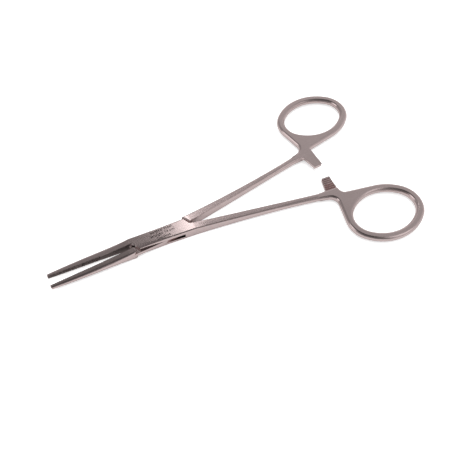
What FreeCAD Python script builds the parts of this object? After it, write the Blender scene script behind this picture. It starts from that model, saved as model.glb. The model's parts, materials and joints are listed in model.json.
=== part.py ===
import FreeCAD, Part
import math
import os
from FreeCAD import Vector

# Straight haemostatic forceps with a box lock, in millimetres.
# The tips point along -X and the finger rings lie on the +X side.
# The lock pin's axis is the Z axis, and the underside of the lock is the plane z = 0.
# Both halves come from one blank: the tongue half is the same blank turned over.
# Each half is drawn with the tips closed and then swung open by half of the rest opening.

# Rest position
REST_OPENING = 4.8  # degrees between the two halves as the forceps lie

# Box lock
LOCK_THICKNESS = 4.4
LOCK_HALF_WIDTH = 2.85
LOCK_FLARE = 0.3  # how much wider each side is at the shanks than at the pivot
LOCK_REACH = 12.0  # from the pivot to where a jaw or a shank starts
PLATE_REACH = 10.86  # from the pivot to a plate's end, along the middle line
PLATE_END_SLANT = 0.6  # how far a plate's end leans along X for each millimetre across
PLATE_THICKNESS = 1.4
PLATE_ROOT_ROUND = 1.2  # in plan, where a plate's end runs into the jaw and into the shank
PLATE_FLAT_SIDE = 2.1  # from the middle line to the crease of the flat ground on a plate, at the pivot
PLATE_FLAT_SLANT = 0.09
PLATE_FLAT_SLOPE = 9.0  # degrees
LOCK_ROUND = 0.5  # rounding of the long edges
SLOT_SIDE_REACH = 8.3  # where a slot's end wall meets the side of the lock
SLOT_WALL_SLANT = 1.67
SHOULDER_GAP = 0.35  # from a plate's end to the shoulder that faces it
SHOULDER_BEVEL = 0.45
SHOULDER_FACE_ROUND = 1.8  # in plan, where the front shoulder turns into the gripping face
SHOULDER_BACK_ROUND = 1.5  # the same, where it turns into the jaw's back
TONGUE_CLEARANCE = 0.05  # on each face of the tongue
TONGUE_SIDE_REACH = 0.4  # where the tongue's relief starts at the side of the lock

# Lock pin
PIN_DIAMETER = 3.0
PIN_CLEARANCE = 0.04  # running clearance all round in the tongue

# Jaws
JAW_REACH = 42.5  # from the pivot to the tip
JAW_ROOT_GAP = 0.4  # how far the gripping face stands off the middle line at the lock
JAW_BASE_THICKNESS = 2.9
JAW_TIP_THICKNESS = 1.8
JAW_TIP_WIDTH = 1.3
JAW_OUTER_ROUND = 1.2  # where the jaw is as thick as its base
JAW_INNER_ROUND = 0.15
TIP_PLAN_ROUND = 0.8
TIP_FACE_ROUND = 0.35  # the same, on the gripping side
TIP_FACE_MARGIN = 0.02  # by which that outline stays off the gripping face
TIP_SIDE_ROUND = 0.75
SERRATION_LENGTH = 19.0
SERRATION_PITCH = 0.7
SERRATION_DEPTH = 0.25
SERRATION_LAND = 0.07  # flat left between two grooves
JAW_BACK_CURVE = 2  # powers of the tapers: a jaw's back stays full and its flats drop quickly
JAW_SHOULDER_CURVE = 6
JAW_FACE_CURVE = 2

# Shanks
SHANK_REACH = 60.5  # from the pivot to where a shank runs into the web of its ring
SHANK_ROOT_GAP = 0.1  # from the middle line to a shank's inner side at the lock
SHANK_END_OFFSET = 7.6  # from the middle line to a shank's middle at the web
SHANK_BOW = 0.3
SHANK_WAIST_WIDTH = 2.25
SHANK_WAIST_THICKNESS = 2.3
SHANK_END_WIDTH = 2.9
SHANK_SEAT = 1.0  # how far a shank runs on inside its web
SHANK_SEAT_INSET = 0.03
SHANK_ROOT_CURVE = 2.4  # powers of the tapers at a shank's two ends
SHANK_END_CURVE = 6
SHANK_ROUND_CURVE = 3

# Tapered bars
TAPER_COUNT = 8  # between the sections of a jaw or a shank
BACK_FLAT_COUNT = 3  # short flats that make a rounded corner
EDGE_FLAT_COUNT = 1  # the same for a barely broken edge

# Finger rings and the webs that join them to the shanks
RING_HOLE_LENGTH = 25.2
RING_HOLE_WIDTH = 18.4
RING_BAR = 3.15
RING_THICKNESS = 2.6
RING_ROUND = 1.15
RING_END_RADIUS = 7.0  # of the finger hole's two tighter ends
RING_AHEAD = 20.1  # from a shank's end to its ring's centre, along X
RING_ASIDE = 15.85  # the same, across
OUTER_CROTCH_AHEAD = 6.6  # from a shank's end to the sharp corner that the round replaces
OUTER_CROTCH_ASIDE = 2.75
OUTER_CROTCH_ROUND = 3.0
INNER_CROTCH_ASIDE = 1.7
INNER_CROTCH_ROUND = 2.2
WEB_ARM_SIDE = 1.4  # from a shank's middle to the web's edge where the arm leaves it
WEB_CORNER_ROUND = 1.2

# Ratchet
ARM_ROOT_WIDTH = 5.0
ARM_END_WIDTH = 3.6
ARM_OUTER_EDGE = 9.45  # from a shank's end to the edge of the arm nearer the ring
ARM_CROSSING = 0.1  # how far an arm passes the middle line with the tips closed
ARM_CORNER_ROUND = 0.5
ARM_ROOT_ROUND = 1.6
ARM_SEAT = 1.2  # how far an arm runs on inside the web, past the shank's middle
ARM_INSET = 0.4  # how far its root lies inside the shank's rounded edge
ARM_GAP = 0.1  # between the crests of the two arms
TOOTH_COUNT = 6
TOOTH_PITCH = 0.9
TOOTH_DEPTH = 0.45
TOOTH_LAND = 0.09  # flat left on each crest
FIRST_TOOTH = 0.7  # from the arm's end to its first tooth's steep face

# Worked out
MIDDLE = LOCK_THICKNESS / 2
TONGUE_TOP = LOCK_THICKNESS - PLATE_THICKNESS - TONGUE_CLEARANCE
SHANK_ROOT_SIDE = LOCK_HALF_WIDTH + LOCK_FLARE
SHANK_ROOT_WIDTH = SHANK_ROOT_SIDE - SHANK_ROOT_GAP
SHANK_ROOT_OFFSET = (SHANK_ROOT_SIDE + SHANK_ROOT_GAP) / 2
RING_X = SHANK_REACH + RING_AHEAD
RING_Y = -(SHANK_END_OFFSET + RING_ASIDE)
TOOL = 5.0  # how far a cutting tool stands out past the metal
SMALL = 0.001
UP = Vector(0, 0, 1)


def prism(points, low, high):
    """A flat plate between two heights, with straight sides through the points."""
    corners = [Vector(x, y, low) for x, y in points]
    outline = Part.makePolygon(corners + corners[:1])
    return Part.Face(outline).extrude(UP * (high - low))


def rounded_edges(corners):
    """Edges of an open outline. A corner (x, y, radius) between the two ends is rounded."""
    edges = []
    points = [Vector(corner[0], corner[1], 0) for corner in corners]
    start = points[0]
    for index in range(1, len(corners) - 1):
        point = points[index]
        radius = corners[index][2] if len(corners[index]) == 3 else 0
        if radius == 0:
            edges.append(Part.LineSegment(start, point).toShape())
            start = point
            continue
        back = (points[index - 1] - point).normalize()
        ahead = (points[index + 1] - point).normalize()
        half_angle = back.getAngle(ahead) / 2
        leg = radius / math.tan(half_angle)
        middle = (back + ahead).normalize() * (radius / math.sin(half_angle) - radius)
        first, last = point + back * leg, point + ahead * leg
        edges.append(Part.LineSegment(start, first).toShape())
        edges.append(Part.Arc(first, point + middle, last).toShape())
        start = last
    edges.append(Part.LineSegment(start, points[-1]).toShape())
    return edges


def extruded(edges, low, high):
    """A plate between two heights from the edges of a closed outline drawn at z = 0."""
    outline = Part.Wire(Part.__sortEdges__(edges))
    outline.translate(UP * low)
    return Part.Face(outline).extrude(UP * (high - low))


def section(x, low, high, thickness, low_corner, high_corner):
    """A rectangle across the instrument. Its corners (radius, flats) are eased by short flats."""
    floor, top = MIDDLE - thickness / 2, MIDDLE + thickness / 2
    low_round, low_flats = low_corner
    high_round, high_flats = high_corner
    corners = ((low + low_round, floor + low_round, low_round, low_flats),
               (high - high_round, floor + high_round, high_round, high_flats),
               (high - high_round, top - high_round, high_round, high_flats),
               (low + low_round, top - low_round, low_round, low_flats))
    points = []
    for index, (y, z, radius, flats) in enumerate(corners):
        for step in range(flats + 1):
            angle = math.pi + (index + step / flats) * math.pi / 2
            points.append(Vector(x, y + radius * math.cos(angle), z + radius * math.sin(angle)))
    return Part.makePolygon(points + points[:1])


def jaw_face(x):
    """How far the gripping face stands off the middle line: nothing at the tip."""
    towards_tip = (-x - LOCK_REACH) / (JAW_REACH - LOCK_REACH)
    return JAW_ROOT_GAP * (1 - towards_tip) ** JAW_FACE_CURVE


def jaw():
    """A tapering jaw with a flat gripping face, a rounded back and a rounded tip."""
    sections = []
    for step in range(TAPER_COUNT + 1):
        t = step / TAPER_COUNT
        x = -(LOCK_REACH + (JAW_REACH - LOCK_REACH) * t)
        back = LOCK_HALF_WIDTH - (LOCK_HALF_WIDTH - JAW_TIP_WIDTH) * t ** JAW_BACK_CURVE
        taper = JAW_BASE_THICKNESS + (JAW_TIP_THICKNESS - JAW_BASE_THICKNESS) * t
        shoulder = (1 - t) ** JAW_SHOULDER_CURVE
        thickness = taper + (LOCK_THICKNESS - JAW_BASE_THICKNESS) * shoulder
        full_round = JAW_OUTER_ROUND * taper / JAW_BASE_THICKNESS
        back_round = full_round + (LOCK_ROUND - full_round) * shoulder
        sections.append(section(x, jaw_face(x), back, thickness,
                                (JAW_INNER_ROUND, EDGE_FLAT_COUNT), (back_round, BACK_FLAT_COUNT)))
    body = Part.makeLoft(sections, True, False)
    root, tip, half = -LOCK_REACH, -JAW_REACH, JAW_TIP_THICKNESS / 2
    face = -TIP_FACE_MARGIN
    plan = [(root, face), (tip, face, TIP_FACE_ROUND), (tip, JAW_TIP_WIDTH, TIP_PLAN_ROUND),
            (root, TOOL), (root, face)]
    side = [(root, -TOOL), (tip, -half, TIP_SIDE_ROUND), (tip, half, TIP_SIDE_ROUND), (root, TOOL),
            (root, -TOOL)]
    from_above = extruded(rounded_edges(plan), -TOOL, LOCK_THICKNESS + TOOL)
    from_side = extruded(rounded_edges(side), -TOOL, TOOL)
    from_side.rotate(Vector(0, 0, 0), Vector(1, 0, 0), 90)
    from_side.translate(UP * MIDDLE)
    return body.common(from_above).common(from_side)


def serrations(phase):
    """V grooves across a gripping face, from the tip back; phase shifts them by part of a pitch."""
    grooves = []
    for index in range(int(SERRATION_LENGTH / SERRATION_PITCH)):
        x = -JAW_REACH + SERRATION_PITCH * (index + 1 + phase)
        face = jaw_face(x)
        half = (SERRATION_PITCH - SERRATION_LAND) / 2
        spread = half * (1 + TOOL / SERRATION_DEPTH)
        points = [(x - spread, face - TOOL), (x + spread, face - TOOL), (x, face + SERRATION_DEPTH)]
        grooves.append(prism(points, -TOOL, LOCK_THICKNESS + TOOL))
    return grooves


def lock_block():
    """The solid block of the lock with its two slanted ends and the roots of jaw and shank."""
    side, jaw_gap, shank_gap = LOCK_HALF_WIDTH, JAW_ROOT_GAP, SHANK_ROOT_GAP
    flare = LOCK_FLARE / LOCK_REACH
    corner = (PLATE_REACH - PLATE_END_SLANT * side) / (1 + PLATE_END_SLANT * flare)
    corners = [(0, side), (corner, side + flare * corner),
               (PLATE_REACH + PLATE_END_SLANT * shank_gap, -shank_gap, PLATE_ROOT_ROUND),
               (LOCK_REACH, -shank_gap), (LOCK_REACH, -SHANK_ROOT_SIDE), (0, -side),
               (-PLATE_REACH + PLATE_END_SLANT * side, -side),
               (-PLATE_REACH - PLATE_END_SLANT * jaw_gap, jaw_gap, PLATE_ROOT_ROUND),
               (-LOCK_REACH, jaw_gap), (-LOCK_REACH, side), (0, side)]
    block = extruded(rounded_edges(corners), 0, LOCK_THICKNESS)
    long_edges = [edge for edge in block.Edges
                  if edge.BoundBox.ZLength < SMALL and edge.BoundBox.XLength > LOCK_REACH / 2
                  and max(abs(edge.BoundBox.YMin), abs(edge.BoundBox.YMax)) > side - SMALL]
    return block.makeFillet(LOCK_ROUND, long_edges)


def shank():
    """A shank that bows gently and tapers to a waist before its end inside the web."""
    sections = []
    for step in range(TAPER_COUNT + 1):
        t = step / TAPER_COUNT
        x = LOCK_REACH + (SHANK_REACH + SHANK_SEAT - LOCK_REACH) * t
        line = SHANK_ROOT_OFFSET + (SHANK_END_OFFSET - SHANK_ROOT_OFFSET) * t
        centre = -line + SHANK_BOW * 4 * t * (1 - t)
        root, end = (1 - t) ** SHANK_ROOT_CURVE, t ** SHANK_END_CURVE
        width = (SHANK_WAIST_WIDTH + (SHANK_ROOT_WIDTH - SHANK_WAIST_WIDTH) * root
                 + (SHANK_END_WIDTH - 2 * SHANK_SEAT_INSET - SHANK_WAIST_WIDTH) * end)
        thickness = (SHANK_WAIST_THICKNESS + (LOCK_THICKNESS - SHANK_WAIST_THICKNESS) * root
                     + (RING_THICKNESS - 2 * SHANK_SEAT_INSET - SHANK_WAIST_THICKNESS) * end)
        rounding = t ** SHANK_ROUND_CURVE
        outer_round = LOCK_ROUND + (RING_ROUND - LOCK_ROUND) * rounding
        inner_round = JAW_INNER_ROUND + (RING_ROUND - JAW_INNER_ROUND) * rounding
        sections.append(section(x, centre - width / 2, centre + width / 2, thickness,
                                (outer_round, BACK_FLAT_COUNT), (inner_round, BACK_FLAT_COUNT)))
    return Part.makeLoft(sections, True, False)


def round_about(centre, radius, angle):
    return centre + Vector(math.cos(angle), math.sin(angle), 0) * radius


def arc_about(centre, radius, start, end):
    """An arc about a centre, anticlockwise from one angle to another."""
    points = [round_about(centre, radius, angle) for angle in (start, (start + end) / 2, end)]
    return Part.Arc(*points).toShape()


def touch_angle(centre, radius, point, side):
    """Where a line from an outside point touches a circle, on its side +1 or -1."""
    away = point - centre
    return math.atan2(away.y, away.x) + side * math.acos(radius / away.Length)


def oval_arcs(margin):
    """Centre, radius, start and end angle of the four arcs of the ring's oval, from the left end on."""
    long_half, short_half, end = RING_HOLE_LENGTH / 2, RING_HOLE_WIDTH / 2, RING_END_RADIUS
    along = long_half - end
    flank = (along ** 2 + short_half ** 2 - end ** 2) / (2 * (short_half - end))
    across = flank - short_half
    meet = math.atan2(across, along)
    centre = Vector(RING_X, RING_Y, 0)
    half_turn = math.pi
    return [(centre - Vector(along, 0, 0), end + margin, half_turn - meet, half_turn + meet),
            (centre + Vector(0, across, 0), flank + margin, half_turn + meet, 2 * half_turn - meet),
            (centre + Vector(along, 0, 0), end + margin, -meet, meet),
            (centre - Vector(0, across, 0), flank + margin, meet, half_turn - meet)]


def eased_rims(plate, radius):
    """The plate with three flats along each rim, all touching a round of the given radius."""
    steep, slight = math.tan(math.pi / 8), math.tan(math.pi / 16)
    first = radius * (2 - math.sqrt(2))
    second = radius * (steep - slight)
    for size in (first, second):
        rims = [edge for edge in plate.Edges
                if edge.BoundBox.ZLength < SMALL and edge.BoundBox.XMax > SHANK_REACH + SMALL]
        plate = plate.makeChamfer(size, rims)
    return plate


def ring_and_web():
    """The finger ring and the flat web that joins it to the shank, rounded all along its edges."""
    near = -SHANK_END_OFFSET + SHANK_END_WIDTH / 2
    far = -SHANK_END_OFFSET - SHANK_END_WIDTH / 2
    arm_edge = SHANK_REACH + ARM_OUTER_EDGE
    outer_crotch = Vector(SHANK_REACH + OUTER_CROTCH_AHEAD, -SHANK_END_OFFSET - OUTER_CROTCH_ASIDE, 0)
    inner_crotch = Vector(arm_edge, -SHANK_END_OFFSET - INNER_CROTCH_ASIDE, 0)
    arm_side = -SHANK_END_OFFSET + WEB_ARM_SIDE
    left, bottom, right, top = oval_arcs(RING_BAR)
    leave = touch_angle(left[0], left[1], outer_crotch, 1)
    arrive = touch_angle(top[0], top[1], inner_crotch, -1)
    first = round_about(left[0], left[1], leave)
    last = round_about(top[0], top[1], arrive)
    edges = rounded_edges([(SHANK_REACH, near), (SHANK_REACH, far),
                           (outer_crotch.x, outer_crotch.y, OUTER_CROTCH_ROUND), (first.x, first.y)])
    edges += [arc_about(left[0], left[1], leave, left[3]), arc_about(*bottom), arc_about(*right),
              arc_about(top[0], top[1], top[2], arrive)]
    edges += rounded_edges([(last.x, last.y), (inner_crotch.x, inner_crotch.y, INNER_CROTCH_ROUND),
                            (arm_edge, arm_side, WEB_CORNER_ROUND), (SHANK_REACH, near)])
    low, high = MIDDLE - RING_THICKNESS / 2, MIDDLE + RING_THICKNESS / 2
    plate = extruded(edges, low, high)
    plate = plate.cut(extruded([arc_about(*arc) for arc in oval_arcs(0)], low - TOOL, high + TOOL))
    return eased_rims(plate, RING_ROUND)


def ratchet_arm():
    """A thin arm with saw teeth on its upper face, lying on the lower side of the middle plane."""
    low, crest = MIDDLE - RING_THICKNESS / 2, MIDDLE - ARM_GAP / 2
    edge = SHANK_REACH + ARM_OUTER_EDGE
    start = SHANK_REACH + SHANK_SEAT
    inside = -SHANK_END_OFFSET - ARM_SEAT
    shoulder = -SHANK_END_OFFSET + SHANK_END_WIDTH / 2 - ARM_INSET
    corners = [(start, inside), (edge, inside), (edge, ARM_CROSSING, ARM_CORNER_ROUND),
               (edge - ARM_END_WIDTH, ARM_CROSSING, ARM_CORNER_ROUND),
               (edge - ARM_ROOT_WIDTH, shoulder, ARM_ROOT_ROUND), (start, shoulder), (start, inside)]
    arm = extruded(rounded_edges(corners), low, crest)
    radius = edge - ARM_END_WIDTH / 2
    steep = ARM_CROSSING - FIRST_TOOTH
    teeth = []
    slope = TOOTH_PITCH - TOOTH_LAND
    for index in range(TOOTH_COUNT):
        profile = [Vector(SHANK_REACH, 0, crest + TOOTH_DEPTH), Vector(SHANK_REACH, 0, crest - TOOTH_DEPTH),
                   Vector(SHANK_REACH, -2 * slope, crest + TOOTH_DEPTH)]
        outline = Part.makePolygon(profile + profile[:1])
        cut = Part.Face(outline).extrude(Vector(ARM_OUTER_EDGE + TOOL, 0, 0))
        angle = math.degrees((steep - index * TOOTH_PITCH) / radius)
        cut.rotate(Vector(0, 0, 0), UP, angle)
        teeth.append(cut)
    return arm.cut(teeth)


def blank(phase):
    """One half with its tips closed and its jaw on the +Y side, before its lock is cut."""
    head = ring_and_web()
    body = lock_block().fuse([jaw().cut(serrations(phase)), shank(), head, ratchet_arm()])
    return body.removeSplitter()


def slot():
    """The opening through the box half that takes the tongue, open at both sides of the lock."""
    side = LOCK_HALF_WIDTH + TOOL
    inner = SLOT_SIDE_REACH - SLOT_WALL_SLANT * TOOL
    outer = SLOT_SIDE_REACH + SLOT_WALL_SLANT * (2 * LOCK_HALF_WIDTH + TOOL)
    points = [(-outer, -side), (inner, -side), (outer, side), (-inner, side)]
    return prism(points, PLATE_THICKNESS, LOCK_THICKNESS - PLATE_THICKNESS)


def pin_bore(clearance):
    radius = PIN_DIAMETER / 2 + clearance
    return Part.makeCylinder(radius, LOCK_THICKNESS + 2 * TOOL, Vector(0, 0, -TOOL))


def shoulder_cuts():
    """What is cut from above and below the tongue, with a bevelled shoulder at each end."""
    length = math.hypot(1, PLATE_END_SLANT)
    normal = Vector(1 / length, PLATE_END_SLANT / length, 0)
    along = Vector(-normal.y, normal.x, 0)
    face = (PLATE_REACH + SHOULDER_GAP) / length
    profile = [(-face, TONGUE_TOP), (face, TONGUE_TOP), (face, LOCK_THICKNESS - SHOULDER_BEVEL),
               (face + SHOULDER_BEVEL + TOOL, LOCK_THICKNESS + TOOL),
               (-face - SHOULDER_BEVEL - TOOL, LOCK_THICKNESS + TOOL),
               (-face, LOCK_THICKNESS - SHOULDER_BEVEL)]
    corners = [normal * distance + UP * height - along * 4 * TOOL for distance, height in profile]
    upper = Part.Face(Part.makePolygon(corners + corners[:1])).extrude(along * 8 * TOOL)
    lower = upper.copy()
    lower.rotate(Vector(0, 0, MIDDLE), normal, 180)
    return [upper, lower]


def tongue_reliefs():
    """The two long wedges that let the tongue swing past the end walls of the slot."""
    side, start, reach = LOCK_HALF_WIDTH, TONGUE_SIDE_REACH, LOCK_REACH
    out = side + TOOL
    shank_side = [(start, -side), (start - TOOL, -out), (reach, -out), (reach, SHANK_ROOT_GAP)]
    jaw_side = [(-start, side), (TOOL - start, out), (-reach, out), (-reach, -JAW_ROOT_GAP)]
    return [prism(shank_side, 0, LOCK_THICKNESS), prism(jaw_side, 0, LOCK_THICKNESS)]


def shoulder_corners():
    """What rounds both ends of the front shoulder, above and below the tongue."""
    down = Vector(PLATE_END_SLANT, -1, 0).normalize()
    ahead = Vector(1, PLATE_END_SLANT, 0).normalize() * TOOL
    tongue_floor = LOCK_THICKNESS - TONGUE_TOP
    cuts = []
    for y, along, aside, radius in ((-JAW_ROOT_GAP, down, Vector(0, TOOL, 0), SHOULDER_FACE_ROUND),
                                    (-LOCK_HALF_WIDTH, -down, Vector(0, -TOOL, 0), SHOULDER_BACK_ROUND)):
        corner = Vector(-PLATE_REACH - SHOULDER_GAP - PLATE_END_SLANT * y, y, 0)
        half_angle = along.getAngle(Vector(-1, 0, 0)) / 2
        leg = radius / math.tan(half_angle)
        first, last = corner - Vector(leg, 0, 0), corner + along * leg
        inward = (along - Vector(1, 0, 0)).normalize()
        middle = corner + inward * (radius / math.sin(half_angle) - radius)
        outside = Part.makePolygon([last, last + ahead, corner + ahead + aside, first + aside, first])
        edges = [Part.Arc(first, middle, last).toShape(), *outside.Edges]
        cuts.append(extruded(edges, TONGUE_TOP, TONGUE_TOP + TOOL))
        cuts.append(extruded(edges, tongue_floor - TOOL, tongue_floor))
    return cuts


def plate_flat():
    """What is ground off the upper plate beside the other jaw: a shallow flat, widest in front."""
    flat = Part.makeBox(4 * TOOL, TOOL, TOOL, Vector(-3 * TOOL, -TOOL, 0))
    flat.rotate(Vector(0, 0, 0), Vector(1, 0, 0), PLATE_FLAT_SLOPE)
    flat.rotate(Vector(0, 0, 0), UP, -math.degrees(math.atan(PLATE_FLAT_SLANT)))
    flat.translate(Vector(0, -PLATE_FLAT_SIDE, LOCK_THICKNESS))
    return flat


def box_half():
    """The half whose lock is a box: the other half passes through it."""
    half = blank(0.0).cut([slot(), plate_flat(), pin_bore(0)])
    half.rotate(Vector(0, 0, 0), UP, -REST_OPENING / 2)
    return half


def tongue_half():
    """The half that is thinned to a tongue and passes through the box."""
    half = blank(0.5)
    half.rotate(Vector(0, 0, MIDDLE), Vector(1, 0, 0), 180)
    half = half.cut(shoulder_cuts() + shoulder_corners() + tongue_reliefs() + [pin_bore(PIN_CLEARANCE)])
    half.rotate(Vector(0, 0, 0), UP, REST_OPENING / 2)
    return half


def lock_pin():
    """The pin, riveted in the plates of the box and ground flush with them."""
    return Part.makeCylinder(PIN_DIAMETER / 2, LOCK_THICKNESS)


os.makedirs("parts", exist_ok=True)
for name, make in (("box_half", box_half), ("tongue_half", tongue_half), ("lock_pin", lock_pin)):
    shape = make()
    print(name, shape.isValid(), len(shape.Solids), round(shape.Volume, 2), shape.BoundBox)
    shape.exportStep("parts/" + name + ".step")
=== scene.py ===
import json
import math

import bmesh
import bpy
from bpy.props import FloatProperty, FloatVectorProperty, PointerProperty
from bpy.types import Operator, Panel, PropertyGroup
from mathutils import Matrix, Vector

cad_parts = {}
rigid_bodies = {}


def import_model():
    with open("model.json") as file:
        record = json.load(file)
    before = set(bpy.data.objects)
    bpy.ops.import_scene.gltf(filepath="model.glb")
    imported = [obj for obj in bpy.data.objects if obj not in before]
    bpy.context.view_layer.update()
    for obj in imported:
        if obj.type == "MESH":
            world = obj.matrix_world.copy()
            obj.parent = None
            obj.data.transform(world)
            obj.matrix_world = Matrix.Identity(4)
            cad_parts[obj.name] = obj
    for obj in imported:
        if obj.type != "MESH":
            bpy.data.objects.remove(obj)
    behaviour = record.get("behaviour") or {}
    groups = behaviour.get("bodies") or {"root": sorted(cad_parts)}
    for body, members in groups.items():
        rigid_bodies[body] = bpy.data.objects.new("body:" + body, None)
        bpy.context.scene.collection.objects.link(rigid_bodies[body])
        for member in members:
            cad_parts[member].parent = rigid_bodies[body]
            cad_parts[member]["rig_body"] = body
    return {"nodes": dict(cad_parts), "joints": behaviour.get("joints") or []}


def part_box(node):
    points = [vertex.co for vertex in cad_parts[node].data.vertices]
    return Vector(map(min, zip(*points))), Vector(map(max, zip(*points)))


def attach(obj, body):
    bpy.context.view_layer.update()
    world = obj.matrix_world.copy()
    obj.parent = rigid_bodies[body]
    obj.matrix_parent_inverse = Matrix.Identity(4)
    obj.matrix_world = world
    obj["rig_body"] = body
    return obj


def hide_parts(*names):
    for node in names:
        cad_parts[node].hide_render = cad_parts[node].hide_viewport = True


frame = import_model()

bl_info = {
    "name": "Box-Lock Forceps",
    "version": (1, 0, 0),
    "blender": (4, 5, 0),
    "location": "3D View > Sidebar > Forceps",
    "description": "Straight forceps with a box lock in ground and satined steel",
    "category": "Object",
}

# Places on the forceps
PIVOT = Vector(frame["joints"][0]["pos_m"])
HALF_OPENING = math.radians(2.4)  # how far each half is swung open as the forceps lie
LOCK_REACH = 0.012  # from the pivot to where a jaw or a shank starts
JAW_ROOT = PIVOT.x - LOCK_REACH
SHANK_START = PIVOT.x + LOCK_REACH
SHANK_REACH = 0.0605  # from the pivot to the seam between a shank and its web
RING_START = PIVOT.x + 0.062  # from here on a half is web and ring
ARM_SIDE = 0.0065  # the ratchet arms lie this near to the middle line
MARKING = "Surgical Steel\nStraight 14 cm\nStainless"
MARKING_PLACE = (0.0002, 0.0001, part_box("box_half")[1].z)  # its middle, on the lock's upper flat

# Finishes
SATIN, GROUND, EDGE, GRIPPING, CUT_AND_PAINTED_LIGHT, LETTER = range(6)  # their order on every piece
GRIPPING_LEAN = 0.74  # how squarely a gripping face looks across
FLAT_LEAN = 0.99  # how squarely a ground flat looks up or down
TOOTH_LEAN = (0.6, 0.9)  # the same for the slope of a ratchet tooth
EDGE_POLISH = 0.8  # roughness of an edge beside that of the bars
GRIPPING_ROUGHNESS = 0.45
CUT_ROUGHNESS = 0.5
LETTER_ROUGHNESS = 0.6
GROUND_TURN = math.radians(62)  # of the lines on the flats, from the length of the forceps
BAR_LINE, GROUND_LINE, SHORT_LINE = 0.006, 0.008, 0.002  # how long the grinding lines are
PATCH_SIZE = 0.012  # of the marks that handling leaves
NOISE_RANGE = (0.3, 0.7)  # nearly all of a noise lies between these
LINE_TONE = (0.97, 1.02)  # how the grinding lines vary the colour
PATCH_TONE = (0.96, 1.04)  # how the handling marks vary it
LINE_ROUGHNESS = 0.02  # how much the grinding lines add to the roughness or take from it
PATCH_ROUGHNESS = (-0.03, 0.05)  # what the handling marks add to it

# Work on the meshes
WELD = 1e-7  # vertices nearer than this are one
FLAT_ANGLE = math.radians(0.2)  # faces that meet at less than this are one flat
RIM_ANGLES = (0.25, 0.55)  # between the facets of the ring bars
BEVEL_SEGMENTS = 2
SEAM_DEPTH = 0.00001  # vertices this near to the seam between shank and web belong to it
SEAM_WELD = 0.00006  # and are joined where they come this near to each other
CUTTING_SCALE = 1000  # the letters are cut at this scale
LETTER_STEPS = 3  # straight pieces in each curve of a letter

# Light
FLOOR_TONE = 0.8
FLOOR_GLOW = 0.6  # as the eye sees it
FLOOR_GLOW_IN_STEEL = 0.02
SKY_BY_HEIGHT = ((0.0, 0.85), (0.2, 0.8), (0.6, 0.64), (0.84, 0.48), (1.0, 0.25))
SKY_BY_SIDE = ((0.0, 0.6), (1.0, 1.0))
SIDE_RANGE = (-0.05, 0.25)  # where along X the sky changes from the first to the last of these
SKY_BY_EYE = ((0.66, 1.0), (0.88, 0.48), (1.0, 0.42))
LAMPS = (
    # name, azimuth, elevation, distance, width, height, radiance, whether it shows in the steel
    ("window", 20.5, 55.5, 0.6, 0.05, 0.11, 2.7, True),
    ("right_card", 130.0, 50.0, 0.7, 0.3, 0.3, 0.85, True),
    ("left_softbox", -75.0, 40.0, 0.7, 0.35, 0.35, 1.2, True),
    ("overhead", 0.0, 90.0, 1.2, 1.0, 1.0, 4.0, False),
)


# Settings

class ForcepsShape(PropertyGroup):
    """Edges, rounds and the marking"""
    edge_width: FloatProperty(
        name="Edge Width", description="Most that the break along each ground edge may be wide",
        default=0.00007, min=0.0, unit="LENGTH")
    bar_round: FloatProperty(
        name="Bar Round", description="Most that the rings' and webs' facets may be rounded",
        default=0.0002, min=0.0, unit="LENGTH")
    letter_size: FloatProperty(
        name="Letter Size", description="Size of the letters on the lock", default=0.0016,
        min=0.0001, unit="LENGTH")
    letter_weight: FloatProperty(
        name="Letter Weight", description="Extra width on each side of a letter's strokes",
        default=0.000015, min=0.0, unit="LENGTH")
    letter_depth: FloatProperty(
        name="Letter Depth", description="Depth of the letters on the lock", default=0.00003,
        min=0.000001, unit="LENGTH")
    crease: FloatProperty(
        name="Crease Angle",
        description="Faces that meet at a larger angle keep an edge between them",
        default=math.radians(38), subtype="ANGLE")


class ForcepsSteel(PropertyGroup):
    """Colours and grain of the steel"""
    ground: FloatVectorProperty(
        name="Ground Flats", description="Colour of the flats of the lock",
        default=(0.53, 0.432, 0.424), subtype="COLOR", min=0.0, max=1.0)
    satin: FloatVectorProperty(
        name="Satin Bars", description="Colour of the rounded shanks, jaws and rings",
        default=(0.585, 0.475, 0.467), subtype="COLOR", min=0.0, max=1.0)
    edge: FloatVectorProperty(
        name="Polished Edges",
        description="Colour of the broken edges, which handling has polished",
        default=(0.72, 0.62, 0.61), subtype="COLOR", min=0.0, max=1.0)
    # Painted shade: this dark colour stands in for the shade between the closed jaws. The dullness of
    # the serrated faces is their own.
    gripping: FloatVectorProperty(
        name="Gripping Faces",
        description="Colour of the serrated faces, dull and dark between the teeth",
        default=(0.17, 0.135, 0.13), subtype="COLOR", min=0.0, max=1.0)
    # Painted light: this colour, lighter than the bars, stands in for the light that the ratchet's
    # slopes catch. Their greater roughness is their own.
    cut: FloatVectorProperty(
        name="Ratchet Teeth Painted Light",
        description="Colour of the ratchet's slopes, which are cut and not polished",
        default=(0.72, 0.61, 0.6), subtype="COLOR", min=0.0, max=1.0)
    letter: FloatVectorProperty(
        name="Letters", description="Colour of the marking on the lock",
        default=(0.02, 0.018, 0.018), subtype="COLOR", min=0.0, max=1.0)
    ground_roughness: FloatProperty(
        name="Ground Roughness", description="Roughness of the ground flats", default=0.16,
        min=0.0, max=1.0, subtype="FACTOR")
    satin_roughness: FloatProperty(
        name="Satin Roughness", description="Roughness of the satined bars", default=0.22,
        min=0.0, max=1.0, subtype="FACTOR")
    grain_width: FloatProperty(
        name="Grain Width", description="Width of one grinding line", default=0.00018,
        min=0.00001, unit="LENGTH")
    grain_depth: FloatProperty(
        name="Grain Depth", description="Depth of the grinding lines", default=0.0000001,
        min=0.0, unit="LENGTH")


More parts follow.
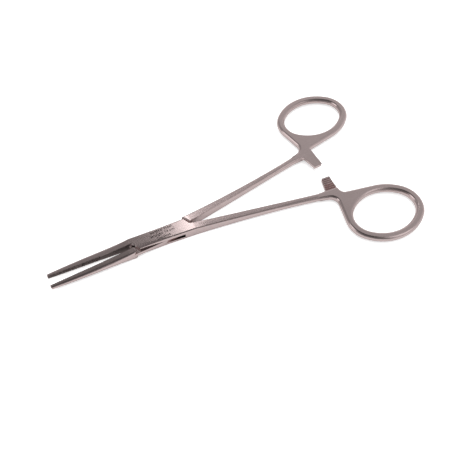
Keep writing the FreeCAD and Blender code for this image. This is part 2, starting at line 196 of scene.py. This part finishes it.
class ForcepsStage(PropertyGroup):
    """Camera, lamps and floor"""
    look_at: FloatVectorProperty(
        name="Look At", description="Point that the camera looks at",
        default=(0.02494, -0.00837, 0.0022), subtype="TRANSLATION", unit="LENGTH")
    azimuth: FloatProperty(
        name="Azimuth", description="Turn of the camera about the vertical",
        default=math.radians(-26.14), subtype="ANGLE")
    elevation: FloatProperty(
        name="Elevation", description="Height of the camera above the floor, as an angle",
        default=math.radians(57.36), subtype="ANGLE")
    distance: FloatProperty(
        name="Distance", description="From the camera to the point that it looks at",
        default=0.1953, min=0.01, unit="LENGTH")
    lens: FloatProperty(
        name="Lens", description="Focal length on a 36 mm wide sensor", default=40.64, min=1.0,
        unit="CAMERA")
    floor_size: FloatProperty(
        name="Floor Size", description="Side of the square floor", default=3.0,
        min=0.1, unit="LENGTH")


# Nodes

def worked(tree, kind, operation, *values):
    """The first output of a math node whose inputs are other outputs or plain values."""
    node = tree.nodes.new(kind)
    node.operation = operation
    for socket, value in zip(node.inputs, values):
        if isinstance(value, bpy.types.NodeSocket):
            tree.links.new(value, socket)
        else:
            socket.default_value = value
    return node.outputs[0]


def spread(tree, value, low, high, to_low=0.0, to_high=1.0):
    """A value that runs between two limits, taken to two others."""
    node = tree.nodes.new("ShaderNodeMapRange")
    limits = {"From Min": low, "From Max": high, "To Min": to_low, "To Max": to_high}
    for label, limit in limits.items():
        node.inputs[label].default_value = limit
    tree.links.new(value, node.inputs["Value"])
    return node.outputs["Result"]


# Effects that the materials share

def new_group(name, inputs, outputs):
    """An empty node group with named sockets."""
    group = bpy.data.node_groups.new(name, "ShaderNodeTree")
    for label, kind, default in inputs:
        socket = group.interface.new_socket(name=label, in_out="INPUT", socket_type=kind)
        socket.default_value = default
    for label, kind in outputs:
        group.interface.new_socket(name=label, in_out="OUTPUT", socket_type=kind)
    return group


def grinding_group():
    """Fine parallel lines that a belt leaves, with slightly uneven depth along each."""
    group = new_group("Grinding Lines",
                      [("Turn", "NodeSocketFloat", 0.0), ("Line Width", "NodeSocketFloat", 0.0002),
                       ("Line Length", "NodeSocketFloat", 0.01)],
                      [("Lines", "NodeSocketFloat")])
    nodes, links = group.nodes, group.links
    given = nodes.new("NodeGroupInput")
    place = nodes.new("ShaderNodeTexCoord")
    turned = nodes.new("ShaderNodeVectorRotate")
    turned.rotation_type = "Z_AXIS"
    links.new(place.outputs["Object"], turned.inputs["Vector"])
    links.new(given.outputs["Turn"], turned.inputs["Angle"])
    size = nodes.new("ShaderNodeCombineXYZ")
    links.new(given.outputs["Line Length"], size.inputs["X"])
    links.new(given.outputs["Line Width"], size.inputs["Y"])
    links.new(given.outputs["Line Width"], size.inputs["Z"])
    noise = nodes.new("ShaderNodeTexNoise")
    noise.inputs["Scale"].default_value = 1.0
    noise.inputs["Detail"].default_value = 3.0
    noise.inputs["Roughness"].default_value = 0.65
    scaled = worked(group, "ShaderNodeVectorMath", "DIVIDE",
                    turned.outputs["Vector"], size.outputs["Vector"])
    links.new(scaled, noise.inputs["Vector"])
    result = nodes.new("NodeGroupOutput")
    links.new(noise.outputs["Fac"], result.inputs["Lines"])
    return group


def handling_group():
    """Soft cloudy patches where fingers and cloths have dulled the steel."""
    group = new_group("Handling Marks",
                      [("Patch Size", "NodeSocketFloat", 0.01), ("Seed", "NodeSocketFloat", 0.0)],
                      [("Patches", "NodeSocketFloat")])
    nodes, links = group.nodes, group.links
    given = nodes.new("NodeGroupInput")
    place = nodes.new("ShaderNodeTexCoord")
    size = nodes.new("ShaderNodeCombineXYZ")
    for axis in "XYZ":
        links.new(given.outputs["Patch Size"], size.inputs[axis])
    scaled = worked(group, "ShaderNodeVectorMath", "DIVIDE",
                    place.outputs["Object"], size.outputs["Vector"])
    noise = nodes.new("ShaderNodeTexNoise")
    noise.noise_dimensions = "4D"
    noise.inputs["Scale"].default_value = 1.0
    noise.inputs["Detail"].default_value = 4.0
    links.new(scaled, noise.inputs["Vector"])
    links.new(given.outputs["Seed"], noise.inputs["W"])
    result = nodes.new("NodeGroupOutput")
    links.new(noise.outputs["Fac"], result.inputs["Patches"])
    return group


# Materials

def ranged(tree, noise, low, high):
    """A noise spread between two limits."""
    return spread(tree, noise, *NOISE_RANGE, low, high)


def steel(name, colour, roughness, line_turn, line_length, line_depth, line_width, groups):
    """Ground or satined steel: lines tint, roughen and score it, and handling dulls it in patches."""
    material = bpy.data.materials.new(name)
    material.use_nodes = True
    tree = material.node_tree
    nodes, links = tree.nodes, tree.links
    surface = nodes["Principled BSDF"]
    surface.inputs["Metallic"].default_value = 1.0
    lines = nodes.new("ShaderNodeGroup")
    lines.node_tree = groups["lines"]
    lines.inputs["Turn"].default_value = line_turn
    lines.inputs["Line Width"].default_value = line_width
    lines.inputs["Line Length"].default_value = line_length
    marks = nodes.new("ShaderNodeGroup")
    marks.node_tree = groups["marks"]
    marks.inputs["Patch Size"].default_value = PATCH_SIZE
    tone = worked(tree, "ShaderNodeMath", "MULTIPLY",
                  ranged(tree, lines.outputs["Lines"], *LINE_TONE),
                  ranged(tree, marks.outputs["Patches"], *PATCH_TONE))
    tinted = nodes.new("ShaderNodeVectorMath")
    tinted.operation = "SCALE"
    tinted.inputs[0].default_value = colour[:]
    links.new(tone, tinted.inputs["Scale"])
    links.new(tinted.outputs["Vector"], surface.inputs["Base Color"])
    scored = ranged(tree, lines.outputs["Lines"],
                    roughness - LINE_ROUGHNESS, roughness + LINE_ROUGHNESS)
    dulled = ranged(tree, marks.outputs["Patches"], *PATCH_ROUGHNESS)
    links.new(worked(tree, "ShaderNodeMath", "ADD", scored, dulled), surface.inputs["Roughness"])
    bump = nodes.new("ShaderNodeBump")
    bump.inputs["Distance"].default_value = line_depth
    links.new(lines.outputs["Lines"], bump.inputs["Height"])
    links.new(bump.outputs["Normal"], surface.inputs["Normal"])
    return material


def effect_groups():
    """The shared effects, built once."""
    return {
        "lines": bpy.data.node_groups.get("Grinding Lines") or grinding_group(),
        "marks": bpy.data.node_groups.get("Handling Marks") or handling_group(),
    }


def steel_materials(settings):
    """The finishes of the instrument, in their order."""
    groups = effect_groups()
    bars, depth = settings.satin_roughness, settings.grain_depth
    plans = (
        # name, colour, roughness, turn, length and depth of the grinding lines
        ("Satined Bars", settings.satin, bars, 0.0, BAR_LINE, depth),
        ("Ground Flats", settings.ground, settings.ground_roughness, GROUND_TURN, GROUND_LINE, depth),
        ("Polished Edges", settings.edge, bars * EDGE_POLISH, 0.0, BAR_LINE, depth / 2),
        # The gripping faces' dark colour is painted shade. Their roughness is their own.
        ("Gripping Faces", settings.gripping, GRIPPING_ROUGHNESS, 0.0, SHORT_LINE, depth),
        # The cut teeth's lighter colour is painted light. Their roughness is their own.
        ("Cut Teeth", settings.cut, CUT_ROUGHNESS, 0.0, SHORT_LINE, depth),
        ("Etched Letters", settings.letter, LETTER_ROUGHNESS, 0.0, SHORT_LINE, depth),
    )
    return [bpy.data.materials.get(plan[0]) or steel(*plan, settings.grain_width, groups)
            for plan in plans]


# Pieces

def finish_of(face, side):
    """Which finish a face has. The jaw's back faces +Y where side is 1 and -Y where it is -1."""
    place, normal = face.calc_center_median(), face.normal
    # The gripping faces take the dark colour, which is painted shade between the jaws.
    if place.x < JAW_ROOT and normal.y * side < -GRIPPING_LEAN:
        return GRIPPING
    if abs(normal.z) > FLAT_LEAN and place.x < SHANK_START:
        return GROUND
    # The slopes of the ratchet teeth take the lighter colour, which is painted light.
    low, high = TOOTH_LEAN
    if place.x > RING_START and abs(place.y) < ARM_SIDE and low < abs(normal.z) < high:
        return CUT_AND_PAINTED_LIGHT
    return SATIN


def evaluated_mesh(context, item):
    """A new mesh that holds an object's shape with its modifiers or its text carried out."""
    return bpy.data.meshes.new_from_object(item.evaluated_get(context.evaluated_depsgraph_get()))


def letters(context, shape, materials):
    """The marking as a block of letters half sunk in the lock's upper flat, at the cutting scale."""
    data = bpy.data.curves.new("marking", "FONT")
    data.body = MARKING
    data.resolution_u = LETTER_STEPS
    data.size = shape.letter_size * CUTTING_SCALE
    data.extrude = shape.letter_depth * CUTTING_SCALE
    data.offset = shape.letter_weight * CUTTING_SCALE
    data.align_x, data.align_y = "CENTER", "CENTER"
    block = bpy.data.objects.new("marking", data)
    context.scene.collection.objects.link(block)
    mesh = evaluated_mesh(context, block)
    bpy.data.objects.remove(block)
    skin = bmesh.new()
    skin.from_mesh(mesh)
    bmesh.ops.remove_doubles(skin, verts=skin.verts, dist=WELD * CUTTING_SCALE)
    bmesh.ops.recalc_face_normals(skin, faces=skin.faces)
    skin.to_mesh(mesh)
    skin.free()
    mesh.materials.clear()
    for material in materials:
        mesh.materials.append(material)
    mesh.polygons.foreach_set("material_index", [LETTER] * len(mesh.polygons))
    cutter = bpy.data.objects.new("letters", mesh)
    cutter.location = Vector(MARKING_PLACE) * CUTTING_SCALE
    context.scene.collection.objects.link(cutter)
    return cutter


def engrave(context, skin, shape, materials):
    """Sink the marking into a skin. The cut is made on an enlarged copy, where it is exact."""
    mesh = bpy.data.meshes.new("blank")
    skin.to_mesh(mesh)
    for material in materials:
        mesh.materials.append(material)
    mesh.transform(Matrix.Scale(CUTTING_SCALE, 4))
    blank = bpy.data.objects.new("blank", mesh)
    context.scene.collection.objects.link(blank)
    cutter = letters(context, shape, materials)
    cut = blank.modifiers.new("Marking", "BOOLEAN")
    cut.operation = "DIFFERENCE"
    cut.solver = "EXACT"
    cut.use_self = True
    cut.object = cutter
    context.view_layer.update()
    result = evaluated_mesh(context, blank)
    bpy.data.objects.remove(blank)
    bpy.data.objects.remove(cutter)
    result.transform(Matrix.Scale(1 / CUTTING_SCALE, 4))
    skin.clear()
    skin.from_mesh(result)


def along(place, side):
    """Where a place lies along its half's own middle line, measured from the pivot."""
    turn = HALF_OPENING * side
    return (place.x - PIVOT.x) * math.cos(turn) - (place.y - PIVOT.y) * math.sin(turn)


def ease_seam(skin, side):
    """Draw the web's first outline in onto the end of the shank, so that one runs into the other."""
    def behind(vert):
        return along(vert.co, side) - SHANK_REACH

    seam = [vert for vert in skin.verts if abs(behind(vert)) < SEAM_DEPTH]
    shank = [vert for vert in seam
             if any(behind(edge.other_vert(vert)) < -SEAM_DEPTH for edge in vert.link_edges)]
    centre = sum((vert.co for vert in shank), Vector()) / len(shank)
    out = Vector((math.sin(HALF_OPENING * side), math.cos(HALF_OPENING * side), 0.0))

    def polar(vert):
        away = vert.co - centre
        return math.atan2(away.z, away.dot(out)), away.length

    corners = sorted(polar(vert) for vert in shank)
    first, last = corners[0], corners[-1]
    corners = [(last[0] - math.tau, last[1]), *corners, (first[0] + math.tau, first[1])]
    for vert in seam:
        if vert in shank:
            continue
        angle, reach = polar(vert)
        low, high = next(pair for pair in zip(corners, corners[1:]) if angle < pair[1][0])
        span, turn = high[0] - low[0], angle - low[0]
        slant = low[1] * math.sin(turn) + high[1] * math.sin(span - turn)
        limit = low[1] * high[1] * math.sin(span) / slant
        if reach > limit:
            vert.co = centre + (vert.co - centre) * (limit / reach)
    bmesh.ops.remove_doubles(skin, verts=seam, dist=SEAM_WELD)
    bmesh.ops.dissolve_degenerate(skin, edges=skin.edges, dist=WELD)


def ground_edges(skin, crease):
    """The edges that are broken by grinding: the sharp ones, apart from those of the letters."""
    return [edge for edge in skin.edges if edge.calc_face_angle(0) > crease
            and all(face.material_index != LETTER for face in edge.link_faces)]


def break_edges(skin, edges, width, finish):
    """Cut a round along edges, at most as wide as given.

    The tightest place on the skin sets the width for all of them. On the halves it is tiny edges at
    the lock's shoulders, which leave the breaks there next to no width.
    """
    bmesh.ops.bevel(skin, geom=edges, offset=width, offset_type="OFFSET", segments=BEVEL_SEGMENTS,
                    profile=0.5, affect="EDGES", clamp_overlap=True, material=finish,
                    harden_normals=False)


def finished_mesh(context, node, side, marked, materials):
    """The node's mesh as one skin with its finishes, its broken edges and its creases."""
    shape = context.scene.forceps_shape
    skin = bmesh.new()
    skin.from_mesh(frame["nodes"][node].data)
    for layer in list(skin.loops.layers.float_vector.values()):
        skin.loops.layers.float_vector.remove(layer)
    bmesh.ops.remove_doubles(skin, verts=skin.verts, dist=WELD)
    if marked:
        engrave(context, skin, shape, materials)
    bmesh.ops.dissolve_limit(skin, angle_limit=FLAT_ANGLE, verts=skin.verts, edges=skin.edges,
                             delimit={"MATERIAL"})
    if side:
        ease_seam(skin, side)
    low, high = RIM_ANGLES
    rims = [edge for edge in skin.edges if low < edge.calc_face_angle(0) < high
            and all(vert.co.x > RING_START for vert in edge.verts)]
    break_edges(skin, rims, shape.bar_round, SATIN)
    break_edges(skin, ground_edges(skin, shape.crease), shape.edge_width, EDGE)
    for face in skin.faces:
        face.smooth = True
        if face.material_index == SATIN:
            face.material_index = finish_of(face, side)
    for edge in skin.edges:
        edge.smooth = edge.calc_face_angle(0) < shape.crease
    mesh = bpy.data.meshes.new(node + "_skin")
    skin.to_mesh(mesh)
    skin.free()
    for material in materials:
        mesh.materials.append(material)
    return mesh


def finished_piece(context, node, name, side, marked):
    """A finished copy of a node that rides on the node's body and stands for it.

    Side is 1 for the box half, -1 for the tongue half and 0 for the pin.
    """
    materials = steel_materials(context.scene.forceps_steel)
    piece = bpy.data.objects.new(name, finished_mesh(context, node, side, marked, materials))
    context.scene.collection.objects.link(piece)
    normals = piece.modifiers.new("Flat Faces Stay Flat", "WEIGHTED_NORMAL")
    normals.keep_sharp = True
    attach(piece, frame["nodes"][node]["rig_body"])
    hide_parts(node)


class FORCEPS_OT_box_half(Operator):
    """Finish the half whose lock is the box"""
    bl_idname = "forceps.box_half"
    bl_label = "Box Half"

    def execute(self, context):
        finished_piece(context, "box_half", "box_half_finished", 1, marked=True)
        return {"FINISHED"}


class FORCEPS_OT_tongue_half(Operator):
    """Finish the half that passes through the box"""
    bl_idname = "forceps.tongue_half"
    bl_label = "Tongue Half"

    def execute(self, context):
        finished_piece(context, "tongue_half", "tongue_half_finished", -1, marked=False)
        return {"FINISHED"}


class FORCEPS_OT_lock_pin(Operator):
    """Finish the pin that joins the halves"""
    bl_idname = "forceps.lock_pin"
    bl_label = "Lock Pin"

    def execute(self, context):
        finished_piece(context, "lock_pin", "lock_pin_finished", 0, marked=True)
        return {"FINISHED"}


# Stage

def floor_material():
    """A white floor that keeps the shadow and glows to the eye, though hardly in the steel."""
    material = bpy.data.materials.new("White Floor")
    material.use_nodes = True
    tree = material.node_tree
    surface = tree.nodes["Principled BSDF"]
    surface.inputs["Base Color"].default_value = (FLOOR_TONE, FLOOR_TONE, FLOOR_TONE, 1.0)
    surface.inputs["Roughness"].default_value = 1.0
    surface.inputs["Specular IOR Level"].default_value = 0.0
    path = tree.nodes.new("ShaderNodeLightPath")
    to_eye = worked(tree, "ShaderNodeMath", "MULTIPLY", path.outputs["Is Camera Ray"], FLOOR_GLOW)
    glow = worked(tree, "ShaderNodeMath", "MULTIPLY_ADD", path.outputs["Is Glossy Ray"],
                  FLOOR_GLOW_IN_STEEL, to_eye)
    surface.inputs["Emission Color"].default_value = (1.0, 1.0, 1.0, 1.0)
    tree.links.new(glow, surface.inputs["Emission Strength"])
    return material


def add_floor(scene, size):
    """A square floor at the height of the lock's underside."""
    half = size / 2
    corners = [(-half, -half, 0), (half, -half, 0), (half, half, 0), (-half, half, 0)]
    mesh = bpy.data.meshes.new("floor")
    mesh.from_pydata(corners, [], [(0, 1, 2, 3)])
    mesh.materials.append(floor_material())
    floor = bpy.data.objects.new("floor", mesh)
    scene.collection.objects.link(floor)


def direction(azimuth, elevation):
    """A direction by its turn from +Y towards +X and its height, in degrees."""
    turn, height = math.radians(azimuth), math.radians(elevation)
    level = math.cos(height)
    return Vector((level * math.sin(turn), level * math.cos(turn), math.sin(height)))


def add_lamp(scene, name, azimuth, elevation, distance, width, height, radiance, shows):
    """A soft lamp that faces the pivot from a direction, as bright as its radiance says."""
    data = bpy.data.lights.new(name, "AREA")
    data.shape = "RECTANGLE"
    data.size = width
    data.size_y = height
    data.energy = radiance * math.pi * width * height
    lamp = bpy.data.objects.new(name, data)
    away = direction(azimuth, elevation)
    lamp.location = PIVOT + away * distance
    lamp.rotation_euler = (-away).to_track_quat("-Z", "Y").to_euler()
    lamp.visible_glossy = shows
    scene.collection.objects.link(lamp)


def add_ramp(tree, value, low, high, stops):
    """A level that follows a value from a low to a high end through stops (place, level)."""
    ramp = tree.nodes.new("ShaderNodeValToRGB")
    while len(ramp.color_ramp.elements) < len(stops):
        ramp.color_ramp.elements.new(1.0)
    for element, (place, level) in zip(ramp.color_ramp.elements, stops):
        element.position = place
        element.color = (level, level, level, 1.0)
    tree.links.new(spread(tree, value, low, high), ramp.inputs["Fac"])
    return ramp.outputs["Color"]


def add_world(scene, eye):
    """A pale tent: bright low down, dim overhead and on the left, with a dark gap at the camera."""
    world = bpy.data.worlds.new("Studio")
    scene.world = world
    world.use_nodes = True
    tree = world.node_tree
    place = tree.nodes.new("ShaderNodeTexCoord").outputs["Generated"]
    axes = tree.nodes.new("ShaderNodeSeparateXYZ")
    tree.links.new(place, axes.inputs["Vector"])
    to_eye = tree.nodes.new("ShaderNodeVectorMath")
    to_eye.operation = "DOT_PRODUCT"
    to_eye.inputs[1].default_value = eye[:]
    tree.links.new(place, to_eye.inputs[0])
    height = add_ramp(tree, axes.outputs["Z"], 0.0, 1.0, SKY_BY_HEIGHT)
    side = add_ramp(tree, axes.outputs["X"], *SIDE_RANGE, SKY_BY_SIDE)
    gap = add_ramp(tree, to_eye.outputs["Value"], 0.0, 1.0, SKY_BY_EYE)
    level = worked(tree, "ShaderNodeVectorMath", "MULTIPLY", height, side)
    light = worked(tree, "ShaderNodeVectorMath", "MULTIPLY", level, gap)
    tree.links.new(light, tree.nodes["Background"].inputs["Color"])


def add_camera(scene, stage):
    """A camera that looks at a point from a direction and a distance."""
    data = bpy.data.cameras.new("camera")
    data.sensor_width = 36.0
    data.sensor_fit = "HORIZONTAL"
    data.lens = stage.lens
    data.clip_start = 0.001
    camera = bpy.data.objects.new("camera", data)
    level = math.cos(stage.elevation)
    back = Vector((level * math.sin(stage.azimuth), -level * math.cos(stage.azimuth),
                   math.sin(stage.elevation)))
    camera.location = Vector(stage.look_at) + back * stage.distance
    camera.rotation_euler = (-back).to_track_quat("-Z", "Y").to_euler()
    scene.collection.objects.link(camera)
    scene.camera = camera


class FORCEPS_OT_stage(Operator):
    """Set the floor, the camera, the sky and the lamps"""
    bl_idname = "forceps.stage"
    bl_label = "Stage"

    def execute(self, context):
        scene = context.scene
        stage = scene.forceps_stage
        add_floor(scene, stage.floor_size)
        add_camera(scene, stage)
        add_world(scene, (scene.camera.location - Vector(stage.look_at)).normalized())
        for lamp in LAMPS:
            add_lamp(scene, *lamp)
        scene.view_settings.view_transform = "Standard"
        return {"FINISHED"}


class FORCEPS_PT_panel(Panel):
    """The pieces of the forceps and their settings"""
    bl_idname = "FORCEPS_PT_panel"
    bl_label = "Box-Lock Forceps"
    bl_space_type = "VIEW_3D"
    bl_region_type = "UI"
    bl_category = "Forceps"

    def draw(self, context):
        layout = self.layout
        for operator in OPERATORS:
            layout.operator(operator.bl_idname)
        for name in SETTINGS:
            settings = getattr(context.scene, name)
            box = layout.box()
            for key in settings.bl_rna.properties.keys():
                if key not in {"rna_type", "name"}:
                    box.prop(settings, key)


SETTINGS = {
    "forceps_shape": ForcepsShape, "forceps_steel": ForcepsSteel, "forceps_stage": ForcepsStage,
}
OPERATORS = (FORCEPS_OT_box_half, FORCEPS_OT_tongue_half, FORCEPS_OT_lock_pin, FORCEPS_OT_stage)


def register():
    """Add the settings, the operators and the panel."""
    for cls in (*SETTINGS.values(), *OPERATORS, FORCEPS_PT_panel):
        bpy.utils.register_class(cls)
    for name, cls in SETTINGS.items():
        setattr(bpy.types.Scene, name, PointerProperty(type=cls))


def unregister():
    """Take them off again."""
    for name in SETTINGS:
        delattr(bpy.types.Scene, name)
    for cls in (FORCEPS_PT_panel, *reversed(OPERATORS), *reversed(list(SETTINGS.values()))):
        bpy.utils.unregister_class(cls)


def main():
    """Register the settings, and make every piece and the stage."""
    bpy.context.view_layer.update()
    register()
    bpy.ops.forceps.box_half()
    bpy.ops.forceps.tongue_half()
    bpy.ops.forceps.lock_pin()
    bpy.ops.forceps.stage()


if __name__ == "__main__":
    main()
